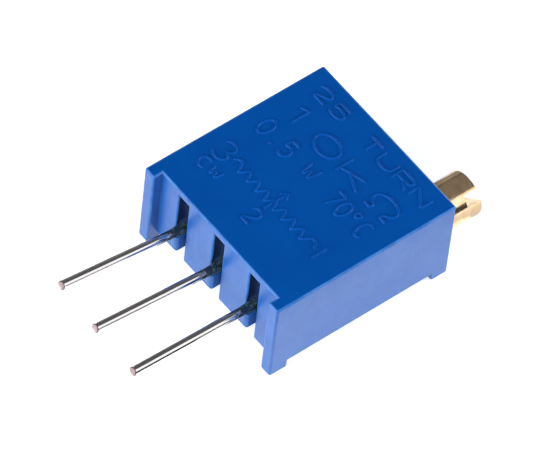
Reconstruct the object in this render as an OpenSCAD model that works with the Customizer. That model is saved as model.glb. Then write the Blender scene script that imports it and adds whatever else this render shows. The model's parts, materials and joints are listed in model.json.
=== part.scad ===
// Multi-turn trimmer potentiometer, 3/8 inch square, adjusted from its top edge.
// X runs across the marked face, Y from the board up to the adjusting screw, Z out of the marked face.
// The origin is on the middle terminal's axis, in the plane of the feet that stand on the board.

/* [Body] */
// Width of the body across the marked face
body_w = 9.53; // [9.3:0.01:12]
// Height of the body from the board to its top edge
body_h = 10.03; // [9.6:0.01:12.5]
// Thickness of the body from back feet to marked face
body_t = 4.83; // [4.6:0.01:6]
// Radius of the four upright corners
corner_r = 0.12; // [0.05:0.01:0.3]
// Thickness of the marked face
face_wall = 0.6; // [0.45:0.01:1]
// Thickness of the two side walls
side_wall = 0.64; // [0.4:0.01:0.8]
// Thickness of the wall at the screw end
top_wall = 0.86; // [0.6:0.01:1.1]
// Thickness of the wall at the terminal end, behind the standoff
pin_wall = 1.22; // [1:0.01:1.4]

/* [Feet] */
// Height of the two standoff feet that stand on the board
foot_h = 0.5; // [0.3:0.05:0.7]
// Width of each standoff foot
foot_w = 0.65; // [0.5:0.05:0.9]
// Height of the four corner feet on the back
back_foot_h = 0.45; // [0.3:0.05:0.5]
// Length of the back feet at the terminal end
back_foot_front = 1.0; // [0.7:0.05:1.3]
// Length of the back feet at the screw end
back_foot_rear = 0.92; // [0.7:0.02:1.3]

/* [Terminals] */
// Distance between neighbouring terminals
pitch = 2.54; // [2.1:0.01:3]
// Diameter of the terminal wire
wire_d = 0.42; // [0.35:0.01:0.5]
// Length of each terminal beyond the feet
wire_out = 5.9; // [3:0.1:12]
// Length of each wire past the middle of its pad
wire_over = 0.38; // [0.2:0.02:0.4]
// Sideways lean of terminals 3, 2 and 1 at their tips
lean_x = [-0.36, -0.40, -0.22]; // [-0.6:0.01:0.6]
// Lean of terminals 3, 2 and 1 towards the marked face at their tips
lean_z = [0.34, 0, -0.10]; // [-0.6:0.01:0.6]
// Width of the slot in the end wall above each terminal
slot_w = 0.7; // [0.6:0.02:0.9]
// Depth of the slot
slot_d = 0.8; // [0.5:0.05:1]
// Thickness of the marked face above the slot
slot_lip = 0.38; // [0.3:0.02:0.55]
// Gap between a wire and the passage it leaves through
wire_gap = 0.04; // [0.02:0.01:0.08]

/* [Screw] */
// Diameter of the screw
screw_d = 2.19; // [1.95:0.01:2.65]
// Length of the screw beyond the body
screw_out = 1.745; // [1:0.005:3]
// Wall left between the screw's bore and the near side of the body
screw_wall = 0.14; // [0.12:0.01:0.3]
// Width of the driver slot
driver_w = 0.6; // [0.4:0.02:0.8]
// Depth of the driver slot
driver_d = 0.76; // [0.5:0.02:1]
// Angle of the driver slot at rest
driver_angle = 43; // [0:1:180]
// Chamfer around the screw's end
screw_chamfer = 0.05; // [0.02:0.01:0.15]
// Radial clearance of the screw in its bore
bore_gap = 0.035; // [0.02:0.005:0.06]
// Length of the screw's bearing inside the body
bearing_l = 1.5; // [1.35:0.05:1.7]
// Gap behind each of the screw's shoulders
shoulder_gap = 0.02; // [0.01:0.005:0.05]
// Depth of the seal's middle below the top edge
seal_depth = 0.6; // [0.5:0.02:0.65]
// Distance from the terminal-end wall to the shoulder of the inner pivot
pivot_in = 1.18; // [1:0.02:1.4]
// Gap past each end of the thread and of the pivot
end_gap = 0.1; // [0.05:0.01:0.15]
// Radius of the pivot at the screw's inner end
tail_r = 0.4; // [0.3:0.01:0.45]
// Length of that pivot
tail_l = 1.4; // [0.8:0.05:1.5]

/* [Worm drive] */
// Teeth on the rotor
teeth = 30; // [29:1:36]
// Pitch radius of the worm
worm_pitch_r = 0.75; // [0.65:0.01:0.9]
// Sideways play of each flank, on worm and rotor alike
flank_play = 0.04; // [0.03:0.005:0.06]
// Face width of the rotor's teeth
rotor_t = 0.7; // [0.5:0.05:0.9]
// Gap between rotor and housing pocket
pocket_gap = 0.15; // [0.1:0.01:0.25]
// Step between the terminal-end wall and the rotor pocket
pocket_step = 0.21; // [0.1:0.01:0.4]
// Gap around the worm in its channel
channel_gap = 0.09; // [0.08:0.01:0.12]
// Gap between worm and substrate
worm_floor_gap = 0.07; // [0.05:0.01:0.1]
// Gap between worm and marked face
worm_roof_gap = 0.1; // [0.08:0.01:0.2]
// Turns of the screw from one end of travel to the other
turns = 25; // [20:1:26]
// Slope of the straight flanks
flank_angle = 20; // [15:1:25]
// Depth that thread and teeth are sunk into their cores
root_sink = 0.06; // [0.04:0.01:0.1]

/* [Rotor] */
// Radius of the housing's pivot post
post_r = 0.6; // [0.4:0.05:0.8]
// Radial clearance of the rotor on the post
post_gap = 0.04; // [0.02:0.01:0.08]
// Wall of the rotor's hub around the post
hub_wall = 0.5; // [0.3:0.05:0.8]
// Gap between the hub and the marked face's inside
hub_gap = 0.05; // [0.03:0.01:0.1]
// Floor of the rotor under its blind bore
hub_floor = 0.28; // [0.2:0.02:0.4]
// Width of the two end-stop lugs
stop_w = 0.6; // [0.4:0.05:0.8]
// Distance of the lugs inside the root of the teeth
stop_in = 0.41; // [0.2:0.01:0.5]
// Gap between each lug and the piece that it faces
stop_gap = 0.2; // [0.1:0.01:0.25]
// Angle that the rotor can turn past each end of the element
stop_play = 2; // [1:0.5:4]

/* [Element] */
// Thickness of the alumina substrate
substrate_t = 0.6; // [0.5:0.01:0.65]
// Thickness of the printed tracks
print_t = 0.04; // [0.03:0.01:0.05]
// Distance of the resistive track inside the root of the teeth
track_in = 0.33; // [0.2:0.01:0.5]
// Width of the resistive track
track_w = 0.5; // [0.4:0.05:0.6]
// Bare substrate between the track and the collector ring
ring_gap = 0.5; // [0.4:0.05:0.6]
// Width of the collector ring
ring_w = 0.5; // [0.4:0.05:0.6]
// Angle that the track runs past the wiper's travel
track_over = 4; // [2:0.5:5]
// Angle that each end conductor covers next to the track
pad_angle = 6; // [4:0.5:7]
// Width of the printed links to the pads
link_w = 0.4; // [0.3:0.02:0.5]
// Side of the square pad under each terminal
pad_w = 1; // [0.9:0.02:1.2]
// Distance from the substrate's edge to the pads
pad_edge = 0.15; // [0.05:0.01:0.2]
// Room over the pads, the links and the wires
trench_gap = 0.1; // [0.05:0.01:0.1]
// Solder between the pad and the wire
solder_gap = 0.035; // [0.02:0.005:0.05]
// Radius of each solder joint
solder_r = 0.48; // [0.4:0.02:0.56]
// Depth of a joint's centre below the pad's surface
solder_sink = 0.06; // [0.02:0.01:0.1]
// Gap around the substrate
substrate_gap = 0.05; // [0.03:0.01:0.08]

/* [Wiper] */
// Thickness of the wiper's plate
wiper_t = 0.1; // [0.08:0.01:0.15]
// Length of the wiper's plate along the radius
plate_l = 0.4; // [0.3:0.02:0.5]
// Plate beyond the outer fingers
plate_edge = 0.06; // [0.04:0.01:0.1]
// Radius of the plate's two holes
peg_hole_r = 0.11; // [0.08:0.01:0.13]
// Gap between a peg and its hole
peg_gap = 0.01; // [0.005:0.005:0.02]
// Width of one wiper finger
finger_w = 0.12; // [0.08:0.01:0.14]
// Thickness of one wiper finger
finger_t = 0.07; // [0.05:0.01:0.1]
// Distance between neighbouring fingers
finger_pitch = 0.2; // [0.18:0.01:0.24]
// Gap left between finger tip and track
touch_gap = 0.015; // [0.01:0.005:0.03]

/* [Cover, seal and clip] */
// Thickness of the back cover's plate
cover_t = 0.5; // [0.4:0.02:0.6]
// Depth of the cover below the rim around it
cover_inset = 0.1; // [0.05:0.01:0.2]
// Gap around the cover
cover_gap = 0.03; // [0.02:0.01:0.05]
// Width of the ribs that carry the substrate
rib_w = 0.6; // [0.4:0.05:0.7]
// Gap between each tab and the sides of the wire passage
tab_gap = 0.04; // [0.02:0.01:0.1]
// Gap between each tab and the wire over it
tab_drop = 0.01; // [0.005:0.005:0.03]
// Height of the tab under each wire
tab_h = 1.0; // [0.6:0.05:1.2]
// Reach of the tab past the end wall
tab_out = 0.38; // [0.1:0.02:0.45]
// Radius of the seal's cord
seal_cord_r = 0.2; // [0.15:0.01:0.22]
// Gap left around the seal
seal_gap = 0.02; // [0.01:0.005:0.03]
// Thickness of the screw clip
clip_t = 0.2; // [0.15:0.01:0.25]
// Radius of the screw's neck inside the clip
neck_r = 0.45; // [0.4:0.01:0.5]
// Width of each leg of the clip
clip_leg = 0.14; // [0.1:0.01:0.16]
// Play of the clip in the neck and in its slot
clip_gap = 0.02; // [0.01:0.005:0.03]

/* [Hidden] */
$fn = 64;
eps = 0.01;                            // overlap of bodies that are joined
past = 1;                              // how far a cutting body runs past the face that it cuts
wire_r = wire_d / 2;

// Places along Y
wall_y = foot_h;                       // outer face of the terminal-end wall
inner_y = wall_y + pin_wall;           // inside of that wall
top_inner_y = body_h - top_wall;       // inside of the screw-end wall

// The rotor is as large as the room beside the screw and between the end walls allows.
half_w = body_w / 2;
inner_x = half_w - side_wall;
screw_r = screw_d / 2;
bore_r = screw_r + bore_gap;
screw_x = half_w - screw_wall - bore_r;
tip_share = 2 / teeth;                 // module as a share of the pitch radius
room_x = half_w + screw_x - side_wall;
pocket_y0 = inner_y + pocket_step;
r_by_width = (room_x - worm_pitch_r - pocket_gap) / (2 + tip_share);
r_by_height = ((top_inner_y - pocket_y0) / 2 - pocket_gap) / (1 + tip_share);
pitch_r = min(r_by_width, r_by_height);
module_mm = pitch_r * tip_share;
rotor_x = screw_x - worm_pitch_r - pitch_r;
rotor_y = (pocket_y0 + top_inner_y) / 2;
addendum = module_mm;
dedendum = 1.25 * module_mm;
rotor_r = pitch_r + addendum;
rotor_root_r = pitch_r - dedendum;
worm_r = worm_pitch_r + addendum;
worm_root_r = worm_pitch_r - dedendum;
lead = 2 * PI * pitch_r / teeth;
lead_angle = atan(lead / (2 * PI * worm_pitch_r));
half_sweep = turns * 360 / teeth / 2;  // rotor travel each way from the middle

// Stack of heights, from the terminals' axis up to the marked face and down to the back
print_z = -wire_r - solder_gap;        // top of the printed tracks
substrate_z = print_z - print_t;       // top of the substrate
screw_z = substrate_z + worm_floor_gap + worm_r;
roof_z = screw_z + worm_r + worm_roof_gap;
face_z = roof_z + face_wall;
back_z = face_z - body_t;
rim_z = back_z + back_foot_h;          // rim of the shell between the back feet
cover_z = rim_z + cover_inset;
seat_z = substrate_z - substrate_t;    // underside of the substrate, top of the cover's ribs
slot_top_z = face_z - slot_lip;
rotor_z = screw_z - rotor_t / 2;       // underside of the rotor
rotor_top_z = rotor_z + rotor_t;
hub_top_z = roof_z - hub_gap;

// Screw, from its slotted end inwards
channel_r = worm_r + channel_gap;
screw_end_y = body_h + screw_out;
bearing_y = body_h - bearing_l;        // inner end of the bore
seal_mid_y = body_h - seal_depth;
seal_groove_w = 2 * (seal_cord_r + seal_gap);
seal_ring_r = bore_r - seal_gap - seal_cord_r;
seal_groove_r = seal_ring_r - seal_cord_r - seal_gap;
clip_mid_y = (bearing_y + seal_mid_y - seal_groove_w / 2) / 2;
neck_w = clip_t + 2 * clip_gap;
thread_top_y = bearing_y - end_gap;
tail_y = inner_y + pivot_in;           // shoulder of the inner pivot
thread_low_y = tail_y + 2 * end_gap;
thread_step = 22.5;                    // turn from one ring of the thread to the next

// Substrate and what is printed on it
substrate_x = inner_x - substrate_gap;
substrate_y0 = inner_y + substrate_gap;
substrate_y1 = bearing_y - substrate_gap;
pad_y = substrate_y0 + pad_edge + pad_w / 2;
pad_top_y = pad_y + pad_w / 2;
wire_in_y = pad_y + wire_over;
joint_half = max(pad_w / 2, solder_r); // half the room that a pad and its solder take
track_r = rotor_root_r - track_in - track_w / 2;
ring_r = track_r - (track_w + ring_w) / 2 - ring_gap;
track_end = half_sweep + track_over;   // from the middle of the track to each of its ends
pad_end = track_end + pad_angle;

// Wiper, along the radius that points to the screw end at rest
plate_r = (ring_r + track_r) / 2;
plate_r0 = plate_r - plate_l / 2;
plate_r1 = plate_r + plate_l / 2;
wiper_z = rotor_z - wiper_t;
finger_offsets = [-finger_pitch, 0, finger_pitch];

// Hub and end stops: the lugs meet a little past the wiper's travel
hub_r = post_r + post_gap + hub_wall;
post_z = rotor_z + hub_floor + hub_gap;
stop_r = rotor_root_r - stop_in - stop_w / 2;
stop_half = (180 - half_sweep - stop_play) / 2;

terminal_x = [-pitch, 0, pitch];       // terminals 3, 2 and 1

// Body outline in plan: square corners rounded with true arcs
module outline(w, y0, y1, r) {
    translate([-w / 2 + r, y0]) square([w - 2 * r, y1 - y0]);
    translate([-w / 2, y0 + r]) square([w, y1 - y0 - 2 * r]);
    for (x = [-w / 2 + r, w / 2 - r], y = [y0 + r, y1 - r])
        translate([x, y]) circle(r);
}

// Part of a flat ring, centred on the rotor's axis, from angle a0 to a1
module arc_plate(r, w, a0, a1, z, h) {
    translate([rotor_x, rotor_y, z])
        rotate([0, 0, a0])
            rotate_extrude(angle = a1 - a0)
                translate([r - w / 2, 0]) square([w, h]);
}

// Cylinder along +Y
module rod(x, z, y0, y1, r) {
    translate([x, y0, z]) rotate([-90, 0, 0]) cylinder(r = r, h = y1 - y0);
}

// Box given by its low and high corners
module block(low, high) {
    translate(low) cube(high - low);
}

module wire_shape(i) {
    rod(terminal_x[i], 0, 0, wire_in_y, wire_r);
}

module housing_shell() {
    translate([0, 0, rim_z]) linear_extrude(face_z - rim_z) outline(body_w, 0, body_h, corner_r);
    difference() {
        translate([0, 0, back_z]) linear_extrude(face_z - back_z) outline(body_w, 0, body_h, corner_r);
        block([-body_w, back_foot_front, back_z - past], [body_w, body_h - back_foot_rear, rim_z]);
        block([-half_w + foot_w, -past, back_z - past], [half_w - foot_w, body_h + past, rim_z]);
    }
}

module housing_cuts() {
    // standoff between the feet
    block([-half_w + foot_w, -past, back_z - past], [half_w - foot_w, foot_h, face_z + past]);
    // room for the cover, and over it for the substrate, which ends at the screw's bearing
    block([-inner_x, inner_y, back_z - past], [inner_x, top_inner_y, seat_z]);
    block([-inner_x, inner_y, seat_z - eps], [inner_x, bearing_y, substrate_z]);
    // rotor pocket and worm channel
    translate([rotor_x, rotor_y, substrate_z - eps])
        cylinder(r = rotor_r + pocket_gap, h = roof_z - substrate_z + eps);
    rod(screw_x, screw_z, tail_y, bearing_y + eps, channel_r);
    rod(screw_x, screw_z, bearing_y, body_h + past, bore_r);
    rod(screw_x, screw_z, tail_y - tail_l - end_gap, tail_y + eps, tail_r + bore_gap);
    // slot for the clip
    block(
        [screw_x - neck_r - clip_leg - 2 * clip_gap, clip_mid_y - neck_w / 2, seat_z - eps],
        [screw_x + neck_r + clip_leg + 2 * clip_gap, clip_mid_y + neck_w / 2, screw_z + neck_r + end_gap]
    );
    // trench over the solder joints, and a shallow relief over the printed links
    block(
        [-pitch - joint_half, inner_y - eps, substrate_z - eps],
        [pitch + joint_half, pad_y + joint_half + trench_gap, wire_r + trench_gap]
    );
    block(
        [-pitch - joint_half, inner_y - eps, substrate_z - eps],
        [pitch + joint_half, rotor_y, print_z + trench_gap]
    );
    for (x = terminal_x) {
        // open slot outside, wire passage through the wall
        block([x - slot_w / 2, 0, back_z - past], [x + slot_w / 2, wall_y + slot_d, slot_top_z]);
        block(
            [x - wire_r - wire_gap, wall_y + slot_d - eps, back_z - past],
            [x + wire_r + wire_gap, inner_y + eps, wire_r + wire_gap]
        );
    }
}

module housing() {
    color("royalblue") {
        difference() {
            housing_shell();
            housing_cuts();
        }
        // pivot post and end stop under the marked face
        translate([rotor_x, rotor_y, post_z]) cylinder(r = post_r, h = roof_z + eps - post_z);
        arc_plate(
            stop_r, stop_w, -90 - stop_half, -90 + stop_half,
            rotor_top_z + stop_gap, roof_z + eps - rotor_top_z - stop_gap
        );
    }
}

module back_cover() {
    x1 = inner_x - cover_gap;
    y0 = inner_y + cover_gap;
    y1 = top_inner_y - cover_gap;
    tab_half = wire_r + wire_gap - tab_gap;
    tab_top = -wire_r - tab_drop;
    color("royalblue") {
        block([-x1, y0, cover_z], [x1, y1, cover_z + cover_t]);
        difference() {
            block([-x1, y0, cover_z + cover_t - eps], [x1, y1, seat_z]);
            block([-x1 + rib_w, y0 + rib_w, cover_z], [x1 - rib_w, substrate_y1 - rib_w, seat_z + past]);
        }
        for (x = terminal_x) {
            block([x - tab_half, wall_y - tab_out, tab_top - tab_h], [x + tab_half, y0, tab_top]);
            block([x - tab_half, inner_y, tab_top - tab_h], [x + tab_half, y0 + eps, seat_z]);
        }
    }
}

// Worm thread: a trapezoid carried along a right-hand helix about the screw's axis. It is half a
// lead past the rotor's axis on the side that faces the rotor, so that a gap takes the rotor's tooth.
function helix_point(a, s) = [s[0] * cos(a), lead * a / 360 + s[1], -s[0] * sin(a)];

// Half the width of a thread or a tooth at height h above its pitch line
function half_width(h) = lead / 4 - flank_play - h * tan(flank_angle);

root_half = half_width(-dedendum - root_sink);
thread_section = [
    [worm_root_r - root_sink, -root_half],
    [worm_r, -half_width(addendum)],
    [worm_r, half_width(addendum)],
    [worm_root_r - root_sink, root_half]
];

module worm_thread() {
    first_a = 360 * ((thread_low_y - rotor_y) / lead + 0.5);
    last_a = 360 * ((thread_top_y - rotor_y) / lead - 0.5);
    rings = ceil((last_a - first_a) / thread_step);
    points = [
        for (i = [0:rings], s = thread_section) helix_point(first_a + i * (last_a - first_a) / rings, s)
    ];
    sides = [
        for (i = [0:rings - 1], k = [0:3])
            let (a = 4 * i + k, b = 4 * i + (k + 1) % 4) [a, b, b + 4, a + 4]
    ];
    tris = [
        for (q = sides, t = [[q[0], q[1], q[2]], [q[0], q[2], q[3]]]) t
    ];
    last = 4 * rings;
    caps = [[0, 3, 2], [0, 2, 1], [last, last + 1, last + 2], [last, last + 2, last + 3]];
    translate([screw_x, rotor_y, screw_z]) polyhedron(points = points, faces = concat(tris, caps));
}

// Ring that cuts a groove of width w into the screw, down to radius r
module screw_groove(y, w, r) {
    difference() {
        rod(screw_x, screw_z, y - w / 2, y + w / 2, screw_d);
        rod(screw_x, screw_z, y - past, y + past, r);
    }
}

module adjustment_screw() {
    color("goldenrod") {
        difference() {
            union() {
                rod(screw_x, screw_z, bearing_y + shoulder_gap, screw_end_y - screw_chamfer, screw_r);
                translate([screw_x, screw_end_y - screw_chamfer, screw_z])
                    rotate([-90, 0, 0])
                        cylinder(r1 = screw_r, r2 = screw_r - screw_chamfer, h = screw_chamfer);
            }
            translate([screw_x, screw_end_y - driver_d, screw_z])
                rotate([0, -driver_angle, 0])
                    translate([-screw_d, 0, -driver_w / 2]) cube([2 * screw_d, driver_d + past, driver_w]);
            screw_groove(seal_mid_y, seal_groove_w, seal_groove_r);
            screw_groove(clip_mid_y, neck_w, neck_r);
        }
        rod(screw_x, screw_z, tail_y + shoulder_gap, bearing_y + end_gap, worm_root_r);
        rod(screw_x, screw_z, tail_y - tail_l, tail_y + end_gap, tail_r);
        worm_thread();
    }
}

module shaft_seal() {
    color("orangered")
        translate([screw_x, seal_mid_y, screw_z])
            rotate([-90, 0, 0])
                rotate_extrude() translate([seal_ring_r, 0]) circle(seal_cord_r, $fn = 32);
}

module screw_clip() {
    leg_x = neck_r + clip_gap;
    color("silver")
        difference() {
            block(
                [screw_x - leg_x - clip_leg, clip_mid_y - clip_t / 2, seat_z + clip_gap],
                [screw_x + leg_x + clip_leg, clip_mid_y + clip_t / 2, screw_z + neck_r]
            );
            rod(screw_x, screw_z, clip_mid_y - past, clip_mid_y + past, leg_x);
            block(
                [screw_x - leg_x, clip_mid_y - past, screw_z],
                [screw_x + leg_x, clip_mid_y + past, screw_z + past]
            );
        }
}

// One straight-flanked tooth, turned about its own radius to follow the worm's helix
module tooth() {
    tip = addendum + 2 * eps;          // trimmed to the rotor's radius
    translate([pitch_r, 0, 0])
        rotate([-lead_angle, 0, 0])
            linear_extrude(rotor_t + lead, center = true)
                polygon([
                    [-dedendum - root_sink, -root_half], [tip, -half_width(tip)],
                    [tip, half_width(tip)], [-dedendum - root_sink, root_half]
                ]);
}

module rotor() {
    color("ivory")
        difference() {
            union() {
                intersection() {
                    translate([rotor_x, rotor_y, screw_z])
                        for (i = [0:teeth - 1]) rotate([0, 0, i * 360 / teeth]) tooth();
                    translate([rotor_x, rotor_y, rotor_z]) cylinder(r = rotor_r, h = rotor_t);
                }
                translate([rotor_x, rotor_y, rotor_z]) cylinder(r = rotor_root_r, h = rotor_t);
                translate([rotor_x, rotor_y, rotor_z]) cylinder(r = hub_r, h = hub_top_z - rotor_z);
                arc_plate(
                    stop_r, stop_w, 90 - stop_half, 90 + stop_half,
                    rotor_top_z - eps, roof_z - stop_gap - rotor_top_z
                );
                for (x = [-finger_pitch, finger_pitch])
                    translate([rotor_x + x, rotor_y + plate_r, wiper_z])
                        cylinder(r = peg_hole_r - peg_gap, h = wiper_t + eps, $fn = 24);
            }
            translate([rotor_x, rotor_y, rotor_z + hub_floor])
                cylinder(r = post_r + post_gap, h = hub_top_z - rotor_z);
        }
}

// One finger, from the plate's edge at radius r0 down to its tip on the track at radius r1
module finger(r0, r1, offset_x) {
    tip_z = print_z + touch_gap;
    away = sign(r1 - r0);
    translate([rotor_x + offset_x - finger_w / 2, rotor_y, 0])
        rotate([90, 0, 90])
            linear_extrude(finger_w)
                polygon([
                    [r0 - away * finger_t, wiper_z], [r0 + away * finger_t / 2, wiper_z],
                    [r1 + away * finger_t / 2, tip_z], [r1 - away * finger_t, tip_z]
                ]);
}

module wiper() {
    half = finger_pitch + finger_w / 2 + plate_edge;
    color("gold") {
        difference() {
            block(
                [rotor_x - half, rotor_y + plate_r0, wiper_z],
                [rotor_x + half, rotor_y + plate_r1, rotor_z]
            );
            for (x = [-finger_pitch, finger_pitch])
                translate([rotor_x + x, rotor_y + plate_r, wiper_z - past])
                    cylinder(r = peg_hole_r, h = 2 * past, $fn = 24);
        }
        for (x = finger_offsets) {
            finger(plate_r1 - finger_t, track_r, x);
            finger(plate_r0 + finger_t, ring_r, x);
        }
    }
}

module substrate() {
    color("whitesmoke")
        block([-substrate_x, substrate_y0, seat_z], [substrate_x, substrate_y1, substrate_z]);
}

module resistive_element() {
    color([0.12, 0.1, 0.1])
        arc_plate(track_r, track_w, 90 - track_end, 90 + track_end, substrate_z, print_t);
}

// Printed square under terminal i
module pad(i) {
    block(
        [terminal_x[i] - pad_w / 2, pad_y - pad_w / 2, substrate_z],
        [terminal_x[i] + pad_w / 2, pad_y + pad_w / 2, print_z]
    );
}

// Point on the substrate at radius r and angle a from the rotor's axis
function spot(r, a) = [rotor_x + r * cos(a), rotor_y + r * sin(a)];

// Conductor from an end of the element to its terminal; side is -1 for terminal 3, 1 for terminal 1
module end_pad(side) {
    outer_r = track_r + track_w / 2;
    a0 = 90 - side * (track_end + 1);
    a1 = 90 - side * (pad_end - 1);
    start = side > 0 ? 90 - pad_end : 90 + track_end;
    arc_plate(track_r, track_w, start, start + pad_angle, substrate_z, print_t);
    pad(side > 0 ? 2 : 0);
    translate([0, 0, substrate_z])
        linear_extrude(print_t)
            polygon([
                spot(track_r, a0), spot(outer_r, a0), [side * pitch, pad_top_y - eps],
                [side * (pitch - pad_w / 2 + eps), pad_top_y - link_w / 2],
                spot(outer_r, a1), spot(track_r, a1)
            ]);
}

module end_pad_1() { color("lightgray") end_pad(1); }
module end_pad_3() { color("lightgray") end_pad(-1); }

module collector_track() {
    reach = (pad_w - link_w) / 2;
    link_x = max(-reach, min(reach, rotor_x));
    color("lightgray") {
        arc_plate(ring_r, ring_w, 0, 360, substrate_z, print_t);
        pad(1);
        translate([0, 0, substrate_z])
            linear_extrude(print_t)
                polygon([
                    [link_x - link_w / 2, pad_top_y - eps], [link_x + link_w / 2, pad_top_y - eps],
                    [rotor_x + link_w / 2, rotor_y - ring_r], [rotor_x - link_w / 2, rotor_y - ring_r]
                ]);
    }
}

// Half-space whose face passes through the origin square to n, on the side that n points to
module half_space(n) {
    size = body_h + wire_out;
    rotate([0, 0, atan2(n[1], n[0])])
        rotate([0, acos(n[2] / norm(n)), 0])
            translate([-size, -size, 0]) cube(2 * size);
}

// Wire i: straight inside the body, leaning from the plane of the feet outwards, mitred at the bend
module terminal(i) {
    out = [lean_x[i], -wire_out, lean_z[i]];
    run = norm(out);
    mitre = out / run + [0, -1, 0];
    color("lightsteelblue")
        translate([terminal_x[i], 0, 0]) {
            difference() {
                rod(0, 0, -wire_d, wire_in_y, wire_r);
                half_space(mitre);
            }
            intersection() {
                rotate([0, 0, atan2(out[1], out[0])])
                    rotate([0, acos(out[2] / run), 0])
                        translate([0, 0, -wire_d]) cylinder(r = wire_r, h = run + wire_d);
                half_space(mitre);
            }
        }
}

module terminal_1() { terminal(2); }
module terminal_2() { terminal(1); }
module terminal_3() { terminal(0); }

// Mound of solder on its pad, around the end of wire i
module solder(i) {
    color("silver")
        difference() {
            translate([terminal_x[i], pad_y, print_z - solder_sink]) sphere(solder_r, $fn = 32);
            block([-body_w, -past, back_z - past], [body_w, body_h, print_z]);
            wire_shape(i);
        }
}

module solder_joint_1() { solder(2); }
module solder_joint_2() { solder(1); }
module solder_joint_3() { solder(0); }

// Resin around wire i where it passes the wall, above the cover's tab
module wire_seal(i) {
    color("midnightblue")
        difference() {
            block(
                [terminal_x[i] - wire_r - wire_gap, wall_y + slot_d, -wire_r - tab_drop],
                [terminal_x[i] + wire_r + wire_gap, inner_y, wire_r + wire_gap]
            );
            wire_shape(i);
        }
}

module terminal_seal_1() { wire_seal(2); }
module terminal_seal_2() { wire_seal(1); }
module terminal_seal_3() { wire_seal(0); }

housing();
back_cover();
adjustment_screw();
shaft_seal();
screw_clip();
rotor();
wiper();
substrate();
resistive_element();
collector_track();
end_pad_1();
end_pad_3();
terminal_1();
terminal_2();
terminal_3();
solder_joint_1();
solder_joint_2();
solder_joint_3();
terminal_seal_1();
terminal_seal_2();
terminal_seal_3();
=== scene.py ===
import json
import math

import bmesh
import bpy
from mathutils import Matrix, Vector


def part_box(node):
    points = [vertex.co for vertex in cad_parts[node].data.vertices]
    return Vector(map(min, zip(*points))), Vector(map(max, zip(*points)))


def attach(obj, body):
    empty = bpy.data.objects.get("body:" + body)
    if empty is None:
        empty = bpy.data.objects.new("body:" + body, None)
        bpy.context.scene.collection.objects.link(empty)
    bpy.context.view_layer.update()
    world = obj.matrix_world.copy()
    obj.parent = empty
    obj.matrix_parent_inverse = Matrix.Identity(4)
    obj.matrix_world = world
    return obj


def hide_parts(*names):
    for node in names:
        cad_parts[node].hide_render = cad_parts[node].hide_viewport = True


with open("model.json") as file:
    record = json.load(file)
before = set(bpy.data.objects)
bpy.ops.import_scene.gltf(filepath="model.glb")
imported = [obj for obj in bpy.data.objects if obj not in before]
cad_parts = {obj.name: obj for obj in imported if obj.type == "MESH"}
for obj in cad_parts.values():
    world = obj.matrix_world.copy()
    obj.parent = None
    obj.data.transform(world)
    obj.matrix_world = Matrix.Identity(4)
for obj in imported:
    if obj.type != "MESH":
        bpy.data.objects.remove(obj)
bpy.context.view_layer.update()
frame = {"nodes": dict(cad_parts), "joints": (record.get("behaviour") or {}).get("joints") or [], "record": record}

mm = 0.001                              # pieces are drawn in millimetres and scaled at the end
mounts = {mount["name"]: mount for mount in frame["record"]["mounts"]}
joints = {joint["name"]: joint for joint in frame["joints"]}
bodyLow, bodyHigh = (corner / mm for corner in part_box("housing"))
screwLow, screwHigh = (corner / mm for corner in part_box("adjustment_screw"))
screwPivot = Vector(joints["screw_turn"]["pos_m"]) / mm
wheelPivot = Vector(joints["rotor_turn"]["pos_m"]) / mm
faceZ = bodyHigh.z
backZ = bodyLow.z
topY = bodyHigh.y
halfWidth = bodyHigh.x


# small tools

def newObject(name, mesh):
    made = bpy.data.objects.new(name, mesh)
    bpy.context.scene.collection.objects.link(made)
    return made


def meshFrom(name, bm):
    mesh = bpy.data.meshes.new(name)
    bm.to_mesh(mesh)
    bm.free()
    return mesh


def joinRings(bm, rings):
    # side faces between neighbouring rings of points
    for low, high in zip(rings, rings[1:]):
        for k in range(len(low)):
            n = (k + 1) % len(low)
            bm.faces.new((low[k], low[n], high[n], high[k]))


def applied(draft):
    # the draft's mesh with its modifiers applied, still in millimetres
    bpy.context.view_layer.update()
    graph = bpy.context.evaluated_depsgraph_get()
    mesh = bpy.data.meshes.new_from_object(draft.evaluated_get(graph), depsgraph=graph)
    bpy.data.objects.remove(draft)
    return mesh


def settle(draft, name, material=None):
    # the finished mesh, scaled from millimetres to metres, as an object of its own
    mesh = applied(draft)
    mesh.name = name
    mesh.transform(Matrix.Scale(mm, 4))
    bm = bmesh.new()
    bm.from_mesh(mesh)
    if bm.calc_volume(signed=True) < 0:
        mesh.flip_normals()
    bm.free()
    if material:
        mesh.materials.clear()
        mesh.materials.append(material)
    return newObject(name, mesh)


def handOver(piece, body, slot, *nodes):
    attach(piece, body)
    if nodes:
        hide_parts(*nodes)
    print("piece", piece.name, "on", body, len(piece.data.polygons), "faces")


# points merge within this many millimetres, faces within this many degrees
cleaning = {"merge": 0.0008, "flat": 0.6}


def cleanCopy(node):
    # a CAD node as one merged mesh with whole faces, in millimetres
    bm = bmesh.new()
    bm.from_mesh(frame["nodes"][node].data)
    bmesh.ops.scale(bm, vec=(1 / mm,) * 3, verts=bm.verts)
    bmesh.ops.remove_doubles(bm, verts=bm.verts, dist=cleaning["merge"])
    bmesh.ops.dissolve_limit(bm, angle_limit=math.radians(cleaning["flat"]), verts=bm.verts, edges=bm.edges)
    bm.normal_update()
    return bm


def weighEdges(bm, name, weightOf, sharpest=math.radians(28)):
    # only corners that stick out take a bevel, each by its weight
    layer = bm.edges.layers.float.new(name)
    for edge in bm.edges:
        if len(edge.link_faces) == 2 and edge.calc_face_angle(0) > sharpest and edge.is_convex:
            edge[layer] = weightOf(edge)


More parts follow.
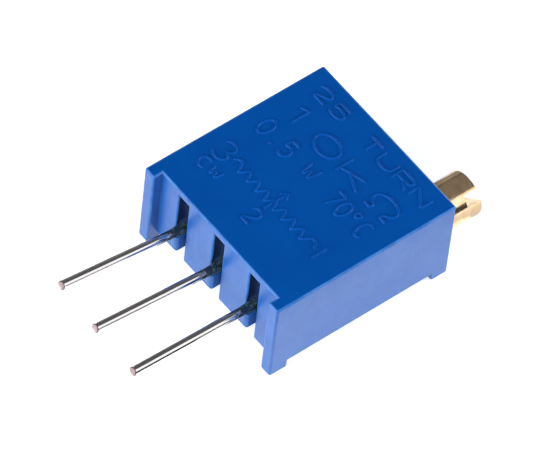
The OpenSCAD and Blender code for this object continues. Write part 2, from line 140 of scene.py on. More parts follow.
def softenEdges(draft, name, width, segments, material):
    bevel = draft.modifiers.new(name, "BEVEL")
    bevel.limit_method = "WEIGHT"
    bevel.edge_weight = name
    bevel.width = width
    bevel.segments = segments
    bevel.use_clamp_overlap = False
    bevel.miter_outer = "MITER_ARC"
    bevel.material = material


def keepFlat(draft):
    # large faces keep their own normals, and the bevels between them take the turn
    flat = draft.modifiers.new("normals", "WEIGHTED_NORMAL")
    flat.weight = 90
    flat.keep_sharp = True


def shade(mesh, sharpAngle=35):
    mesh.shade_smooth()
    mesh.set_sharp_from_angle(angle=math.radians(sharpAngle))


# materials

def newMaterial(name):
    material = bpy.data.materials.new(name)
    material.use_nodes = True
    return material, material.node_tree, material.node_tree.nodes["Principled BSDF"]


def addNode(tree, kind, values=None, **settings):
    node = tree.nodes.new(kind)
    for key, value in settings.items():
        setattr(node, key, value)
    for key, value in (values or {}).items():
        node.inputs[key].default_value = value
    return node


def patternSpace(tree, scale):
    # object coordinates in millimetres, times scale
    place = addNode(tree, "ShaderNodeTexCoord")
    mapping = addNode(tree, "ShaderNodeMapping", {"Scale": [part / mm for part in scale]})
    tree.links.new(place.outputs["Object"], mapping.inputs["Vector"])
    return mapping.outputs["Vector"]


def noise(tree, scale, detail, roughness=0.55):
    node = addNode(tree, "ShaderNodeTexNoise", {"Scale": 1.0, "Detail": detail, "Roughness": roughness})
    tree.links.new(patternSpace(tree, scale), node.inputs["Vector"])
    return node.outputs["Fac"]


def remap(tree, value, low, high, toLow, toHigh):
    node = addNode(tree, "ShaderNodeMapRange",
                   {"From Min": low, "From Max": high, "To Min": toLow, "To Max": toHigh})
    tree.links.new(value, node.inputs["Value"])
    return node.outputs["Result"]


def blendColours(tree, factor, first, second):
    node = addNode(tree, "ShaderNodeMix", data_type="RGBA")
    tree.links.new(factor, node.inputs["Factor"])
    for socket, colour in (("A", first), ("B", second)):
        target = next(s for s in node.inputs if s.name == socket and s.type == "RGBA")
        if isinstance(colour, (tuple, list)):
            target.default_value = (*colour, 1)
        else:
            tree.links.new(colour, target)
    return next(s for s in node.outputs if s.type == "RGBA")


def unevenRoughness(tree, bsdf, pattern, roughness, smoother, rougher, high=0.7):
    # from a little smoother than stated to a little rougher
    spread = remap(tree, pattern, 0.3, high, roughness - smoother, roughness + rougher)
    tree.links.new(spread, bsdf.inputs["Roughness"])


def bump(tree, height, depth, below=None):
    # depth is in millimetres
    node = addNode(tree, "ShaderNodeBump", {"Strength": 1.0, "Distance": depth * mm})
    tree.links.new(height, node.inputs["Height"])
    if below is not None:
        tree.links.new(below, node.inputs["Normal"])
    return node.outputs["Normal"]


# scales are in features to the millimetre, along X, Y and Z
mouldedBlue = {
    "colour": (0.0006, 0.071, 0.338),
    "shade": (0.0006, 0.064, 0.312),
    "worn": (0.050, 0.210, 0.500),
    "scuff": 0.12,
    # paler colour of the rounded edges: partly rubbed wear, partly a painted highlight
    "paleEdgeSheenAndWear": (0.030, 0.160, 0.480),
    "edgeSheenAndWearRange": (0.3, 1.0),
    "roughness": 0.33,
    "ior": 1.6,
    "grain": 0.0012,
    "flow": 0.014,
    "drag": 0.0007,
    "cloudScale": (0.45, 0.45, 0.45), "rubScale": (1.1, 1.1, 1.1), "streakScale": (7, 7, 0.5),
    "patchScale": (1.3, 1.3, 1.3), "grainScale": (26, 26, 26), "flowScale": (0.55, 0.55, 0.4),
    "dragScale": (9, 9, 0.35),
}
# the sides are painted a little paler than the marked face, painted light for the stronger light they take, and
# they are glossier
sidesPaintedPaler = dict(mouldedBlue, colour=(0.0008, 0.089, 0.368), shade=(0.0008, 0.081, 0.342))
blueGloss = {"sides": 0.5, "face": 0.035, "edges": 0.25}


def sideMask(tree):
    # 1 on upright faces, 0 on the marked face and the back
    place = addNode(tree, "ShaderNodeTexCoord")
    apart = addNode(tree, "ShaderNodeSeparateXYZ")
    tree.links.new(place.outputs["Normal"], apart.inputs["Vector"])
    upright = addNode(tree, "ShaderNodeMath", operation="ABSOLUTE")
    tree.links.new(apart.outputs["Z"], upright.inputs[0])
    return remap(tree, upright.outputs["Value"], 0.2, 0.5, 1, 0)


def makeMouldedBlue(name, look, gloss, edge=False):
    material, tree, bsdf = newMaterial(name)
    link = tree.links.new
    cloud = noise(tree, look["cloudScale"], 4.0)
    colour = blendColours(tree, remap(tree, cloud, 0.35, 0.65, 0, 1), look["shade"], look["colour"])
    if edge:
        # corners are painted paler, here more and there less: partly rubbed wear, partly a painted highlight along
        # the rounded edges
        wearAndSheen = remap(tree, noise(tree, look["rubScale"], 5.0, 0.7), 0.35, 0.6, *look["edgeSheenAndWearRange"])
    else:
        # faint upright scratches from the mould and from handling
        wearAndSheen = addNode(tree, "ShaderNodeMath", operation="MULTIPLY")
        streak = remap(tree, noise(tree, look["streakScale"], 4.0, 0.6), 0.5, 0.72, 0, look["scuff"])
        link(streak, wearAndSheen.inputs[0])
        link(sideMask(tree), wearAndSheen.inputs[1])
        wearAndSheen = wearAndSheen.outputs["Value"]
    paler = look["paleEdgeSheenAndWear" if edge else "worn"]
    link(blendColours(tree, wearAndSheen, colour, paler), bsdf.inputs["Base Color"])
    patches = noise(tree, look["patchScale"], 5.0, 0.65)
    unevenRoughness(tree, bsdf, patches, look["roughness"], 0.05, 0.06)
    bsdf.inputs["IOR"].default_value = look["ior"]
    bsdf.inputs["Specular IOR Level"].default_value = gloss
    grain = bump(tree, noise(tree, look["grainScale"], 2.0), look["grain"])
    flow = bump(tree, noise(tree, look["flowScale"], 2.0), look["flow"], grain)
    # drag lines left by the mould, along the way the part was pushed out
    drag = bump(tree, noise(tree, look["dragScale"], 3.0), look["drag"], flow)
    link(drag, bsdf.inputs["Normal"])
    return material


turnedBrass = {"colour": (0.78, 0.53, 0.29), "pale": (0.94, 0.71, 0.46), "roughness": 0.14, "line": 0.0016,
               "rings": 26, "cloudScale": (1.6, 3.2, 1.6), "patchScale": (3, 3, 3)}


def makeTurnedBrass(name, look):
    material, tree, bsdf = newMaterial(name)
    link = tree.links.new
    bsdf.inputs["Metallic"].default_value = 1.0
    cloud = noise(tree, look["cloudScale"], 5.0, 0.65)
    link(blendColours(tree, remap(tree, cloud, 0.35, 0.65, 0, 1), look["colour"], look["pale"]),
         bsdf.inputs["Base Color"])
    # turning marks: rings around the axis, so they vary with Y on the side and with radius on the end
    place = addNode(tree, "ShaderNodeTexCoord")
    centred = addNode(tree, "ShaderNodeVectorMath", operation="SUBTRACT")
    centred.inputs[1].default_value = (screwPivot.x * mm, 0, screwPivot.z * mm)
    link(place.outputs["Object"], centred.inputs[0])
    apart = addNode(tree, "ShaderNodeSeparateXYZ")
    link(centred.outputs["Vector"], apart.inputs["Vector"])
    across = addNode(tree, "ShaderNodeCombineXYZ")
    link(apart.outputs["X"], across.inputs["X"])
    link(apart.outputs["Z"], across.inputs["Y"])
    radius = addNode(tree, "ShaderNodeVectorMath", operation="LENGTH")
    link(across.outputs["Vector"], radius.inputs[0])
    total = addNode(tree, "ShaderNodeMath", operation="ADD")
    link(radius.outputs["Value"], total.inputs[0])
    link(apart.outputs["Y"], total.inputs[1])
    rings = addNode(tree, "ShaderNodeTexNoise",
                    {"Scale": look["rings"] / mm, "Detail": 3.0, "Roughness": 0.6}, noise_dimensions="1D")
    link(total.outputs["Value"], rings.inputs["W"])
    link(bump(tree, rings.outputs["Fac"], look["line"]), bsdf.inputs["Normal"])
    unevenRoughness(tree, bsdf, noise(tree, look["patchScale"], 3.0), look["roughness"], 0.04, 0.08)
    return material


metalPatches = {"dullScale": (2.4, 0.8, 2.4), "patchScale": (4, 1.5, 4)}
tinnedWire = {"colour": (0.73, 0.72, 0.72), "dull": (0.64, 0.62, 0.62), "roughness": 0.07,
              "draw": 0.0003, "drawScale": (34, 0.7, 34)}
bareCopper = {"colour": (0.42, 0.34, 0.34), "dull": (0.22, 0.155, 0.16), "roughness": 0.45,
              "draw": 0.006, "drawScale": (18, 18, 18)}
# near-black copper on the rounded rim of the cut: painted shade along the tip's edge
copperPaintedShade = {"colour": (0.11, 0.045, 0.05), "dull": (0.05, 0.02, 0.025), "roughness": 0.5,
              "draw": 0.004, "drawScale": (18, 18, 18)}
# flux and resin stain on the wires near the body: how far out it reaches, and which side stays clean
rootStain = {"colour": (0.020, 0.032, 0.056), "fleck": (0.13, 0.18, 0.19), "reach": -1.6, "clean": 1.4,
             "cleanSide": (0.64, 0, 0.77), "ragged": 0.6, "soft": 0.12,
             "raggedScale": (5, 3, 5), "fleckScale": (9, 6, 9)}


def makeDrawnMetal(name, look):
    material, tree, bsdf = newMaterial(name)
    bsdf.inputs["Metallic"].default_value = 1.0
    dull = remap(tree, noise(tree, metalPatches["dullScale"], 4.0), 0.4, 0.75, 0, 1)
    tree.links.new(blendColours(tree, dull, look["colour"], look["dull"]), bsdf.inputs["Base Color"])
    patches = noise(tree, metalPatches["patchScale"], 3.0)
    unevenRoughness(tree, bsdf, patches, look["roughness"], 0.04, 0.10, 0.75)
    tree.links.new(bump(tree, noise(tree, look["drawScale"], 4.0), look["draw"]), bsdf.inputs["Normal"])
    return material


def addStain(material, look):
    # the metal's colour and metallic value give way to the stain's towards the body
    tree = material.node_tree
    link = tree.links.new
    bsdf = tree.nodes["Principled BSDF"]
    place = addNode(tree, "ShaderNodeTexCoord")
    apart = addNode(tree, "ShaderNodeSeparateXYZ")
    link(place.outputs["Object"], apart.inputs["Vector"])
    facing = addNode(tree, "ShaderNodeVectorMath", {1: look["cleanSide"]}, operation="DOT_PRODUCT")
    link(place.outputs["Normal"], facing.inputs[0])
    kept = addNode(tree, "ShaderNodeMath", {1: -look["clean"]}, operation="MULTIPLY")
    link(facing.outputs["Value"], kept.inputs[0])
    along = addNode(tree, "ShaderNodeMath", {1: 1 / mm}, operation="MULTIPLY_ADD")
    link(apart.outputs["Y"], along.inputs[0])
    link(kept.outputs["Value"], along.inputs[2])
    edge = addNode(tree, "ShaderNodeMath", operation="ADD")
    link(along.outputs["Value"], edge.inputs[0])
    half = look["ragged"] / 2
    wobble = remap(tree, noise(tree, look["raggedScale"], 4.0), 0.3, 0.7, -half, half)
    link(wobble, edge.inputs[1])
    reach, soft = look["reach"], look["soft"]
    mask = remap(tree, edge.outputs["Value"], reach - soft, reach + soft, 0, 1)
    fleck = remap(tree, noise(tree, look["fleckScale"], 3.0), 0.6, 0.7, 0, 1)
    stain = blendColours(tree, fleck, look["colour"], look["fleck"])
    metal = bsdf.inputs["Base Color"].links[0].from_socket
    link(blendColours(tree, mask, metal, stain), bsdf.inputs["Base Color"])
    link(remap(tree, mask, 0, 1, 1, 0), bsdf.inputs["Metallic"])


# dark slot resin, partly real potting and partly painted shade inside the slot
slotResinAndShade = {"colour": (0.003, 0.012, 0.050), "second": (0.006, 0.018, 0.030), "roughness": 0.60,
             "ripple": 0.010, "size": 1.6, "gloss": 0.08}
wireResin = {"colour": (0.012, 0.026, 0.045), "second": (0.070, 0.120, 0.140), "roughness": 0.22,
             "ripple": 0.012, "size": 5.5, "gloss": 0.4}


def makeDarkResin(name, look):
    material, tree, bsdf = newMaterial(name)
    cloud = noise(tree, (look["size"],) * 3, 4.0)
    tree.links.new(blendColours(tree, remap(tree, cloud, 0.5, 0.72, 0, 1), look["colour"], look["second"]),
                   bsdf.inputs["Base Color"])
    bsdf.inputs["Roughness"].default_value = look["roughness"]
    bsdf.inputs["Specular IOR Level"].default_value = look["gloss"]
    ripple = noise(tree, (look["size"] * 1.5,) * 3, 3.0)
    tree.links.new(bump(tree, ripple, look["ripple"]), bsdf.inputs["Normal"])
    return material


# inner pieces keep their CAD meshes: nodes, two colours, metallic, roughness, pattern scale, bump depth
innerFinishes = {
    "seal_rubber": (["shaft_seal"], (0.55, 0.10, 0.03), (0.42, 0.07, 0.02), 0.0, 0.55, 6, 0.002),
    "spring_metal": (["screw_clip"], (0.58, 0.57, 0.55), (0.46, 0.45, 0.43), 1.0, 0.28, 9, 0.001),
    "rotor_plastic": (["rotor"], (0.78, 0.74, 0.62), (0.70, 0.66, 0.54), 0.0, 0.48, 2, 0.002),
    "contact_metal": (["wiper"], (0.80, 0.64, 0.34), (0.70, 0.55, 0.28), 1.0, 0.24, 8, 0.0008),
    "ceramic": (["substrate"], (0.82, 0.82, 0.79), (0.74, 0.74, 0.71), 0.0, 0.60, 14, 0.0016),
    "cermet": (["resistive_element"], (0.035, 0.030, 0.032), (0.018, 0.016, 0.018), 0.15, 0.50, 22, 0.002),
    "conductor": (["collector_track", "end_pad_1", "end_pad_3"],
                  (0.66, 0.64, 0.60), (0.54, 0.52, 0.48), 0.8, 0.42, 20, 0.0015),
    "solder": ([f"solder_joint_{number}" for number in (1, 2, 3)],
               (0.62, 0.62, 0.62), (0.50, 0.50, 0.50), 1.0, 0.24, 5, 0.003),
    "resin": ([f"terminal_seal_{number}" for number in (1, 2, 3)],
              (0.020, 0.035, 0.09), (0.012, 0.022, 0.06), 0.0, 0.16, 4, 0.003),
}


def finishInnerPieces():
    for name, (nodes, first, second, metallic, roughness, scale, depth) in innerFinishes.items():
        material, tree, bsdf = newMaterial(name)
        cloud = noise(tree, (scale * 0.3,) * 3, 4.0)
        tree.links.new(blendColours(tree, remap(tree, cloud, 0.35, 0.65, 0, 1), second, first),
                       bsdf.inputs["Base Color"])
        bsdf.inputs["Metallic"].default_value = metallic
        unevenRoughness(tree, bsdf, cloud, roughness, 0.04, 0.06)
        tree.links.new(bump(tree, noise(tree, (scale,) * 3, 3.0), depth), bsdf.inputs["Normal"])
        for node in nodes:
            frame["nodes"][node].data.materials.clear()
            frame["nodes"][node].data.materials.append(material)


# the sides' material is the copy painted paler, as painted light
bluePlastic = makeMouldedBlue("mouldedBlue", sidesPaintedPaler, blueGloss["sides"])
blueFace = makeMouldedBlue("mouldedBlueFace", mouldedBlue, blueGloss["face"])
# the edges' material carries a painted highlight along the rounded corners, mixed with wear
blueEdge = makeMouldedBlue("mouldedBlueEdge", mouldedBlue, blueGloss["edges"], edge=True)
brass = makeTurnedBrass("turnedBrass", turnedBrass)
tin = makeDrawnMetal("tinnedWire", tinnedWire)
addStain(tin, rootStain)
copper = makeDrawnMetal("cutCopper", bareCopper)
burrPaintedShade = makeDrawnMetal("cutRimPaintedShade", copperPaintedShade)
slotFillAndShade = makeDarkResin("slotResinAndShade", slotResinAndShade)
wireFilm = makeDarkResin("wireResin", wireResin)
finishInnerPieces()
print("materials made")


# geometry node trees

def newTree(name, inputs):
    tree = bpy.data.node_groups.new(name, "GeometryNodeTree")
    tree.interface.new_socket("Geometry", in_out="INPUT", socket_type="NodeSocketGeometry")
    for label, kind in inputs:
        tree.interface.new_socket(label, in_out="INPUT", socket_type="NodeSocket" + kind)
    tree.interface.new_socket("Geometry", in_out="OUTPUT", socket_type="NodeSocketGeometry")
    given, result = tree.nodes.new("NodeGroupInput"), tree.nodes.new("NodeGroupOutput")
    return tree, given.outputs, result.inputs["Geometry"]


def runTree(draft, tree, values):
    modifier = draft.modifiers.new(tree.name, "NODES")
    modifier.node_group = tree
    for item in tree.interface.items_tree:
        if item.in_out == "INPUT" and item.name in values:
            modifier[item.identifier] = values[item.name]


def curveFrom(name, strokes):
    # each stroke is (points, closed)
    curve = bpy.data.curves.new(name, "CURVE")
    curve.dimensions = "3D"
    for points, closed in strokes:
        spline = curve.splines.new("POLY")
        spline.points.add(len(points) - 1)
        for point, place in zip(spline.points, points):
            point.co = (*place, 1)
        spline.use_cyclic_u = closed
    return newObject(name, curve)


def lengths(tree):
    # how far along its curve a point is, and how far it still is from the end
    along = addNode(tree, "GeometryNodeSplineParameter")
    total = addNode(tree, "GeometryNodeSplineLength")
    left = addNode(tree, "ShaderNodeMath", operation="SUBTRACT")
    tree.links.new(total.outputs["Length"], left.inputs[0])
    tree.links.new(along.outputs["Length"], left.inputs[1])
    return along.outputs["Length"], left.outputs["Value"]


def sweep(tree, curve, section, size=None):
    # the section drawn along the curve, closed at its ends
    swept = addNode(tree, "GeometryNodeCurveToMesh", {"Fill Caps": True})
    tree.links.new(curve, swept.inputs["Curve"])
    tree.links.new(section, swept.inputs["Profile Curve"])
    if size is not None:
        tree.links.new(size, swept.inputs["Scale"])
    return swept.outputs["Mesh"]


def objectShape(tree, given):
    shape = addNode(tree, "GeometryNodeObjectInfo")
    tree.links.new(given, shape.inputs["Object"])
    return shape.outputs["Geometry"]


def paint(tree, geometry, material):
    # instances made real, in one material
    whole = addNode(tree, "GeometryNodeRealizeInstances")
    tree.links.new(geometry, whole.inputs["Geometry"])
    painted = addNode(tree, "GeometryNodeSetMaterial")
    tree.links.new(whole.outputs["Geometry"], painted.inputs["Geometry"])
    tree.links.new(material, painted.inputs["Material"])
    return painted.outputs["Geometry"]


# housing and cover

# rounding of the edges, then the sizes of the feet and of the bore's mouth
shellEdges = {"width": 0.095, "segments": 4, "inside": 0.3, "pinFoot": 0.5, "backFoot": 0.45,
              "mouthRadius": 1.3, "mouthDepth": 0.1, "near": 0.01}


def bluePlasticMesh(name, bm):
    mesh = meshFrom(name, bm)
    shade(mesh)
    for material in (bluePlastic, blueFace, blueEdge):
        mesh.materials.append(material)
    return mesh


def makeHousing(look):
    bm = cleanCopy("housing")
    outerY = (bodyLow.y, bodyLow.y + look["pinFoot"], topY)
    rimZ = backZ + look["backFoot"]
    near = look["near"]

    def onSkin(vert):
        x, y, z = vert.co
        return (abs(abs(x) - halfWidth) < near or z > faceZ - near or z < rimZ + near
                or any(abs(y - outer) < near for outer in outerY))

    def weight(edge):
        outside = all(onSkin(vert) for vert in edge.verts)
        middle = (edge.verts[0].co + edge.verts[1].co) / 2
        offAxis = math.hypot(middle.x - screwPivot.x, middle.z - screwPivot.z)
        if offAxis < look["mouthRadius"] and middle.y > topY - look["mouthDepth"]:
            return look["inside"]
        return 1.0 if outside else 0.0

    # the marked face takes the darker blue; the other faces keep the copy painted paler for light
    for face in bm.faces:
        face.material_index = int(face.normal.z > 0.9 and face.calc_center_median().z > faceZ - near)
    weighEdges(bm, "corner", weight)
    draft = newObject("housingDraft", bluePlasticMesh("housingDraft", bm))
    softenEdges(draft, "corner", look["width"], look["segments"], 2)
    keepFlat(draft)
    handOver(settle(draft, "housingShell"), "case", "body_plastic", "housing")


coverEdges = {"width": 0.15, "segments": 4, "others": 0.28, "tabReach": 0.4, "tabFoot": 0.1}


def makeCover(look):
    bm = cleanCopy("back_cover")
    tabEnd = bodyLow.y + look["tabReach"]
    tabTop = max(vert.co.z for vert in bm.verts if vert.co.y < tabEnd)

    def weight(edge):
        # the tabs under the wires have rounded lower corners
        middle = (edge.verts[0].co + edge.verts[1].co) / 2
        onTab = middle.y < tabEnd and middle.z < tabTop - look["tabFoot"]
        return 1.0 if onTab else look["others"]

    weighEdges(bm, "corner", weight)
    draft = newObject("coverDraft", bluePlasticMesh("coverDraft", bm))
    softenEdges(draft, "corner", look["width"], look["segments"], 2)
    keepFlat(draft)
    handOver(settle(draft, "coverPlate"), "case", "body_plastic", "back_cover")


makeHousing(shellEdges)
makeCover(coverEdges)
print("housing and cover made")

# terminals

wireLook = {"sides": 40, "spacing": 0.1, "wander": 0.016, "wanderSize": 0.55, "flare": 0.05,
            "flareLength": 0.12, "bend": 0.55, "bendSteps": 8, "skin": 0.026, "dish": 0.014,
            "edge": 0.036, "slant": (0.05, 0.19)}


def makeWireTree():
    tree, given, result = newTree("drawnWire", [
        ("Radius", "Float"), ("Sides", "Int"), ("Spacing", "Float"), ("Wander", "Float"),
        ("Wander Size", "Float"), ("Flare", "Float"), ("Flare Length", "Float"), ("Seed", "Float"),
        ("Skin", "Material"), ("Core", "Material")])
    link = tree.links.new
    even = addNode(tree, "GeometryNodeResampleCurve", mode="LENGTH")
    link(given["Geometry"], even.inputs["Curve"])
    link(given["Spacing"], even.inputs["Length"])
    # the wire isn't quite straight
    place = addNode(tree, "GeometryNodeInputPosition")
    wave = addNode(tree, "ShaderNodeTexNoise", {"Detail": 1.0}, noise_dimensions="4D")
    link(place.outputs["Position"], wave.inputs["Vector"])
    link(given["Wander Size"], wave.inputs["Scale"])
    link(given["Seed"], wave.inputs["W"])
    centred = addNode(tree, "ShaderNodeVectorMath", {1: (0.5, 0.5, 0.5)}, operation="SUBTRACT")
    link(wave.outputs["Color"], centred.inputs[0])
    shift = addNode(tree, "ShaderNodeVectorMath", operation="SCALE")
    link(centred.outputs["Vector"], shift.inputs[0])
    link(given["Wander"], shift.inputs["Scale"])
    moved = addNode(tree, "GeometryNodeSetPosition")
    link(even.outputs["Curve"], moved.inputs["Geometry"])
    link(shift.outputs["Vector"], moved.inputs["Offset"])
    # the cutter leaves a small burr at the tip
    left = lengths(tree)[1]
    flared = addNode(tree, "ShaderNodeMath", {0: 1.0}, operation="ADD")
    link(given["Flare"], flared.inputs[1])
    size = addNode(tree, "ShaderNodeMapRange", {"From Min": 0.0, "To Max": 1.0})
    link(left, size.inputs["Value"])
    link(given["Flare Length"], size.inputs["From Max"])
    link(flared.outputs["Value"], size.inputs["To Min"])
    section = addNode(tree, "GeometryNodeCurvePrimitiveCircle")
    link(given["Sides"], section.inputs["Resolution"])
    link(given["Radius"], section.inputs["Radius"])
    swept = sweep(tree, moved.outputs["Geometry"], section.outputs["Curve"], size.outputs["Result"])
    skin = paint(tree, swept, given["Skin"])
    corners = addNode(tree, "GeometryNodeInputMeshFaceNeighbors")
    ends = addNode(tree, "FunctionNodeCompare", {3: 4}, data_type="INT", operation="GREATER_THAN")
    link(corners.outputs["Vertex Count"], ends.inputs[2])
    core = addNode(tree, "GeometryNodeSetMaterial")
    link(skin, core.inputs["Geometry"])
    link(ends.outputs["Result"], core.inputs["Selection"])
    link(given["Core"], core.inputs["Material"])
    link(core.outputs["Geometry"], result)
    return tree


def terminalFacts(number):
    # its sizes, where it crosses the plane of the feet, and which way it leans
    mount = mounts[f"terminal_{number}"]
    return mount["dims"], Vector(mount["pos_m"]) / mm, Vector(mount["axis"])


def wirePath(number, look):
    # straight inside the body, then a short bend at the plane of the feet, then straight to the tip
    size, start, lean = terminalFacts(number)
    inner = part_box(f"terminal_{number}")[1].y / mm
    reach, steps = look["bend"], look["bendSteps"]
    first, last = start + Vector((0, reach, 0)), start + lean * reach
    bend = [first.lerp(start, t).lerp(start.lerp(last, t), t)
            for t in (i / steps for i in range(steps + 1))]
    return [Vector((start.x, inner, start.z))] + bend + [start + lean * size["length_mm"]]


def lowestCut(bm):
    # the many-sided face that closes the wire's outer end
    ends = [face for face in bm.faces if len(face.verts) > 4]
    return min(ends, key=lambda face: face.calc_center_median().y)


def makeWire(number, look, tree):
    draft = curveFrom("wireDraft", [(wirePath(number, look), False)])
    runTree(draft, tree, {
        "Radius": terminalFacts(number)[0]["r_mm"], "Sides": look["sides"], "Spacing": look["spacing"],
        "Wander": look["wander"], "Wander Size": look["wanderSize"], "Flare": look["flare"],
        "Flare Length": look["flareLength"], "Seed": float(number), "Skin": tin, "Core": copper})
    wire = settle(draft, f"wire{number}")
    # the cut is a little aslant, its edge is rounded over, and bare copper shows on it
    bm = bmesh.new()
    bm.from_mesh(wire.data)
    tipCut = lowestCut(bm)
    centre = tipCut.calc_center_median()
    low = min(vert.co.y for vert in tipCut.verts)
    for vert in tipCut.verts:
        vert.co.y += look["slant"][0] * (vert.co.x - centre.x) + look["slant"][1] * (vert.co.z - centre.z)
    deeper = low - min(vert.co.y for vert in tipCut.verts)
    for vert in tipCut.verts:
        vert.co.y += deeper
    burr = bmesh.ops.bevel(bm, geom=list(tipCut.edges), offset=look["edge"] * mm, segments=2, profile=0.5,
                           affect="EDGES")
    # the rounded rim of the cut is painted near-black: painted shade
    wire.data.materials.append(burrPaintedShade)
    for face in burr["faces"]:
        face.material_index = len(wire.data.materials) - 1
    bmesh.ops.inset_region(bm, faces=[lowestCut(bm)], thickness=look["skin"] * mm, depth=-look["dish"] * mm)
    bm.to_mesh(wire.data)
    bm.free()
    shade(wire.data, 50)
    handOver(wire, "case", "wire", f"terminal_{number}")


# resin left on the terminals where they leave the body

collarLook = {"sides": 36, "rings": 44, "from": 1.0, "to": -0.15, "thick": 0.034, "sag": 0.018,
              "lump": 0.014, "lumpsAlong": 3.1, "lumpsApart": 2.2, "twist": 1.3, "feather": 0.75,
              "swell": 1.4, "bite": 0.004, "closed": 0.03}


def makeCollar(number, look):
    size, start, lean = terminalFacts(number)
    wireR = size["r_mm"]
    bm = bmesh.new()
    rings = []
    for i in range(look["rings"] + 1):
        y = look["from"] + (look["to"] - look["from"]) * i / look["rings"]
        centre = Vector((start.x, y, start.z)) if y > 0 else start + lean * (-y)
        fade = min(1, (y - look["to"]) / look["feather"])
        thick = look["thick"] * math.sin(fade * math.pi / 2) ** look["swell"]
        circle = []
        for k in range(look["sides"]):
            a = 2 * math.pi * k / look["sides"]
            wave = look["lumpsAlong"] * y + look["lumpsApart"] * number
            wave += look["twist"] * math.cos(a + number)
            lump = look["lump"] * fade * math.sin(wave)
            drop = look["sag"] * fade * max(0, -math.sin(a))
            r = wireR - look["bite"] + thick + drop + lump * (0.5 + 0.5 * math.cos(2 * a + number))
            if i in (0, look["rings"]):
                r = wireR - look["closed"]
            circle.append(bm.verts.new(centre + Vector((r * math.cos(a), 0, r * math.sin(a)))))
        rings.append(circle)
    joinRings(bm, rings)
    bm.faces.new(rings[0])
    bm.faces.new(rings[-1][::-1])
    bmesh.ops.recalc_face_normals(bm, faces=bm.faces)
    mesh = meshFrom("collarDraft", bm)
    shade(mesh, 60)
    collar = settle(newObject("collarDraft", mesh), f"resinCollar{number}", wireFilm)
    handOver(collar, "case", "resin")


# the dark resin that fills the foot of each slot and creeps up its walls and along the wire; built thick and run
# high up the side walls, it is partly painted shade for the shaded slot

pottingLook = {"width": 0.694, "high": 2.03, "columns": 18, "rows": 40, "skin": 0.012, "depth": 0.42,
               "reach": 0.20, "spread": 0.10, "shadeClimb": 0.30, "wave": 0.01, "waves": 3.7}


def closedSheet(bm, front, back):
    # two grids of points, joined all round their borders
    grids = [[[bm.verts.new(point) for point in row] for row in grid] for grid in (front, back)]
    rows, columns = len(front), len(front[0])
    for grid in grids:
        for i in range(rows - 1):
            for k in range(columns - 1):
                bm.faces.new((grid[i][k], grid[i][k + 1], grid[i + 1][k + 1], grid[i + 1][k]))
    border = [(0, k) for k in range(columns)] + [(i, columns - 1) for i in range(1, rows)]
    border += [(rows - 1, k) for k in range(columns - 2, -1, -1)] + [(i, 0) for i in range(rows - 2, 0, -1)]
    near, far = ([grid[i][k] for i, k in border] for grid in grids)
    for i in range(len(border)):
        n = (i + 1) % len(border)
        bm.faces.new((near[i], near[n], far[n], far[i]))
    bmesh.ops.recalc_face_normals(bm, faces=bm.faces)


def makePotting(number, look):
    size, centre = terminalFacts(number)[:2]
    wireR = size["r_mm"]
    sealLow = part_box(f"terminal_seal_{number}")[0] / mm
    half = look["width"] / 2
    front, back = [], []
    for i in range(look["rows"] + 1):
        z = sealLow.z + (look["high"] - sealLow.z) * i / look["rows"]
        rows = ([], [])
        for k in range(look["columns"] + 1):
            x = half * (2 * k / look["columns"] - 1)
            away = max(0, math.hypot(x, z - centre.z) - wireR)
            thick = look["depth"] + look["reach"] * math.exp(-(away / look["spread"]) ** 2)
            # the rise up the side walls is painted shade on the slot's walls
            rim = look["shadeClimb"] * abs(x / half) ** 4
            thick += rim + look["wave"] * math.sin(look["waves"] * z + number)
            rows[0].append((centre.x + x, sealLow.y - thick, z))
            rows[1].append((centre.x + x, sealLow.y + look["skin"], z))
        front.append(rows[0])
        back.append(rows[1])
    bm = bmesh.new()
    closedSheet(bm, front, back)
    mesh = meshFrom("pottingDraft", bm)
    shade(mesh, 50)
    potting = settle(newObject("pottingDraft", mesh), f"slotPotting{number}", slotFillAndShade)
    handOver(potting, "case", "resin")


wireTree = makeWireTree()
for number in (1, 2, 3):
    makeWire(number, wireLook, wireTree)
    makeCollar(number, collarLook)
    makePotting(number, pottingLook)
print("terminals made")

# adjusting screw

screwLook = {
    "radius": 1.095, "chamfer": 0.05, "bearingY": 8.55, "sides": 128,
    "clipGroove": (8.75, 8.99, 0.45), "sealGroove": (9.21, 9.65, 0.69),
    "coreRadius": 0.479, "tipRadius": 0.967, "tailRadius": 0.4, "tailY": 2.92,
    "slotWidth": 0.6, "slotDepth": 0.76, "slotAngle": 43, "edge": 0.022,
    "threadLow": 3.1, "threadHigh": 8.43, "flank": 20, "play": 0.04, "sink": 0.06, "pointsPerTurn": 48,
    "wormPitchRadius": 0.75, "brow": 0.6,
}


def latheAroundY(bm, profile, sides, centre):
    # profile is (y, radius) from one end to the other; both ends are closed with a cap
    rings = [[bm.verts.new(centre + Vector((r * math.cos(a), y, -r * math.sin(a))))
              for a in (2 * math.pi * k / sides for k in range(sides))] for y, r in profile]
    joinRings(bm, rings)
    bm.faces.new(rings[0][::-1])
    bm.faces.new(rings[-1])
    bmesh.ops.recalc_face_normals(bm, faces=bm.faces)


